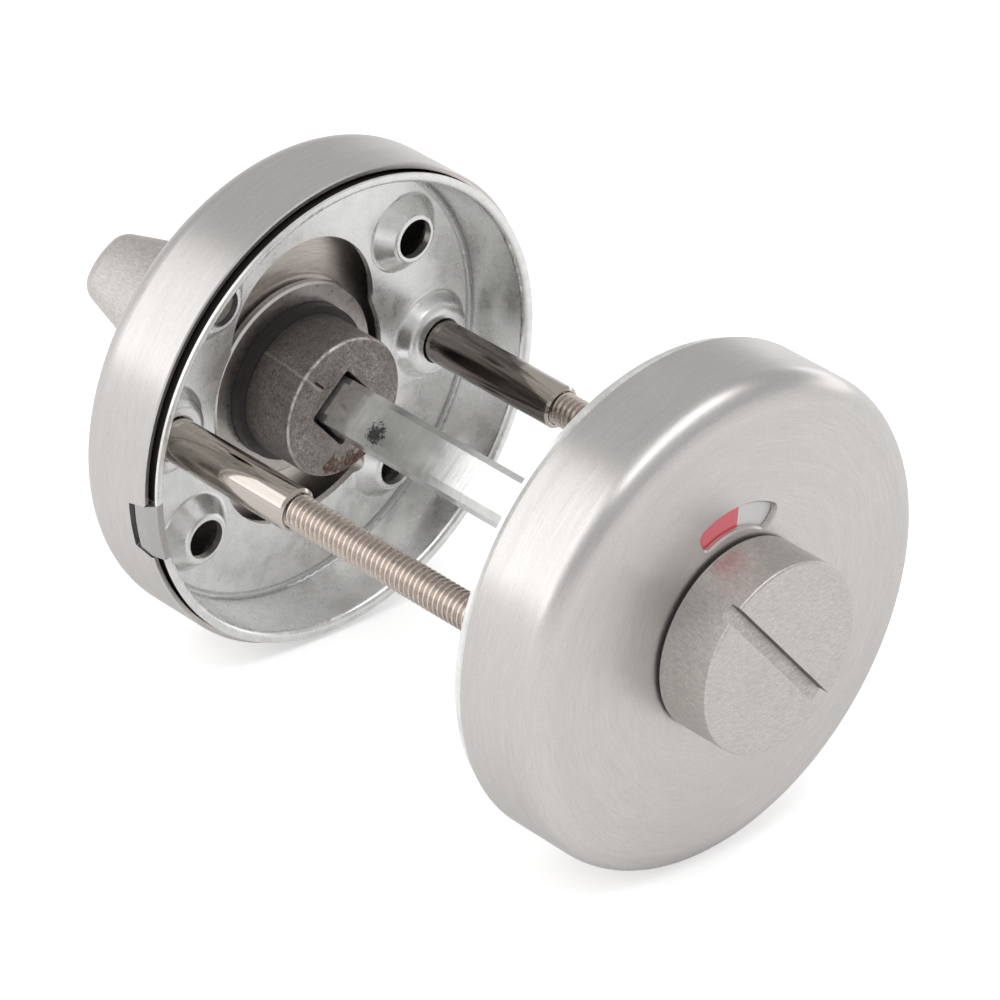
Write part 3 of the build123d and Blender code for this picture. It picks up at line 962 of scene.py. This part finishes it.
def stage_floor(looks, level):
    """A wide plain floor under the lock."""
    reach = 6.0
    corners = ((-reach, -reach), (reach, -reach), (reach, reach), (-reach, reach))
    points = [(x, y, level) for x, y in corners]
    mesh = bpy.data.meshes.new("floor")
    mesh.from_pydata(points, [], [(0, 1, 2, 3)])
    made, tree, surface = material("floor")
    seen, mirrored = seen_and_mirrored(tree)
    lift = maths(tree, "ADD", maths(tree, "MULTIPLY", seen, looks.lift),
                 maths(tree, "MULTIPLY", mirrored, looks.mirrored))
    set_inputs(tree, surface, {
        "Base Color": opaque(looks.floor),
        "Roughness": 0.9,
        "Specular IOR Level": 0.1,
        "Emission Color": (1.0, 1.0, 1.0, 1.0),
        "Emission Strength": lift,
    })
    mesh.materials.append(made)
    link(bpy.data.objects.new("floor", mesh))


def stage_lamp(name, position, width, height, watts):
    """A large soft lamp that looks at the lock."""
    light = bpy.data.lights.new(name, "AREA")
    light.shape = "RECTANGLE"
    light.size = width
    light.size_y = height
    light.energy = watts
    lamp = bpy.data.objects.new(name, light)
    lamp.location = position
    lamp.rotation_euler = (-Vector(position)).to_track_quat("-Z", "Y").to_euler()
    link(lamp)


def stage_world(looks):
    """Light from all round, which shining surfaces see dimmer overhead."""
    world = bpy.data.worlds.new("sky")
    world.use_nodes = True
    world.cycles.sampling_method = "NONE"
    tree = world.node_tree
    tree.nodes.clear()
    towards = add(tree, "ShaderNodeTexCoord").outputs["Generated"]
    height = add(tree, "ShaderNodeSeparateXYZ", {"Vector": towards}).outputs["Z"]
    haze_top = 0.32
    shown = between(tree, height, 0.0, haze_top, 1.0, looks.zenith)
    either = maths(tree, "MAXIMUM", *seen_and_mirrored(tree))
    strength = add(tree, "ShaderNodeMix", {0: either, 2: looks.sky, 3: shown})
    sky = add(tree, "ShaderNodeBackground",
              {"Color": (1.0, 1.0, 1.0, 1.0), "Strength": strength.outputs[0]})
    add(tree, "ShaderNodeOutputWorld", {"Surface": sky.outputs["Background"]})
    bpy.context.scene.world = world


def stage_camera(looks, aim):
    """The photograph's view."""
    lens = bpy.data.cameras.new("camera")
    lens.sensor_width = looks.sensor
    lens.lens = looks.lens
    lens.clip_end = 20.0
    camera = bpy.data.objects.new("camera", lens)
    heading = Matrix.Rotation(looks.heading, 4, "Z")
    tip = Matrix.Rotation(math.pi / 2 - looks.elevation, 4, "X")
    roll = Matrix.Rotation(looks.roll, 4, "Z")
    back = Matrix.Translation((0.0, 0.0, looks.distance))
    camera.matrix_world = Matrix.Translation(aim) @ heading @ tip @ roll @ back
    link(camera)
    bpy.context.scene.camera = camera


class LOCK_OT_stage(bpy.types.Operator):
    """Floor, light and camera"""

    bl_idname = "lock.stage"
    bl_label = "Stage"

    def execute(self, context):
        looks = context.scene.lock_stage
        stage_floor(looks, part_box("outside_cover")[0].z)
        stage_world(looks)
        stage_lamp("main_lamp", (-1.15, 0.55, 0.78), width=1.5, height=1.5, watts=looks.main)
        stage_lamp("top_lamp", (0.08, -0.30, 1.2), width=1.5, height=0.45, watts=looks.top)
        stage_lamp("fill_lamp", (1.5, 0.1, 0.25), width=1.5, height=0.35, watts=looks.fill)
        stage_camera(looks, Vector((8.7, -14.7, -6.9)) * millimetre)
        context.scene.view_settings.view_transform = "Standard"
        return {"FINISHED"}


class LOCK_PT_panel(bpy.types.Panel):
    """Lists the parts' operators and their looks"""

    bl_label = "Thumb turn lock"
    bl_idname = "LOCK_PT_panel"
    bl_space_type = "VIEW_3D"
    bl_region_type = "UI"
    bl_category = "Thumb turn lock"

    def draw(self, context):
        for operator in operators:
            self.layout.operator(operator.bl_idname)
        for group in groups:
            looks = getattr(context.scene, group)
            box = self.layout.box()
            for name in looks.bl_rna.properties.keys():
                if name not in ("rna_type", "name"):
                    box.prop(looks, name)


groups = {
    "lock_roses": ROSE_PG_looks,
    "lock_turn": TURN_PG_looks,
    "lock_fixings": FIXING_PG_looks,
    "lock_sign": SIGN_PG_looks,
    "lock_stage": STAGE_PG_looks,
}

operators = (
    LOCK_OT_covers,
    LOCK_OT_plates,
    LOCK_OT_grips,
    LOCK_OT_hubs,
    LOCK_OT_rings,
    LOCK_OT_spindle,
    LOCK_OT_fixings,
    LOCK_OT_sign,
    LOCK_OT_stage,
)


def register():
    """Adds the looks, the operators and the panel."""
    for name, group in groups.items():
        bpy.utils.register_class(group)
        setattr(bpy.types.Scene, name, bpy.props.PointerProperty(type=group))
    for operator in operators:
        bpy.utils.register_class(operator)
    bpy.utils.register_class(LOCK_PT_panel)


def unregister():
    """Takes them away again."""
    bpy.utils.unregister_class(LOCK_PT_panel)
    for operator in reversed(operators):
        bpy.utils.unregister_class(operator)
    for name, group in groups.items():
        delattr(bpy.types.Scene, name)
        bpy.utils.unregister_class(group)


def main():
    """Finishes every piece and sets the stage."""
    register()
    bpy.ops.lock.covers()
    bpy.ops.lock.plates()
    bpy.ops.lock.grips()
    bpy.ops.lock.hubs()
    bpy.ops.lock.rings()
    bpy.ops.lock.spindle()
    bpy.ops.lock.fixings()
    bpy.ops.lock.sign()
    bpy.ops.lock.stage()
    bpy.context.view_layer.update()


if __name__ == "__main__":
    main()
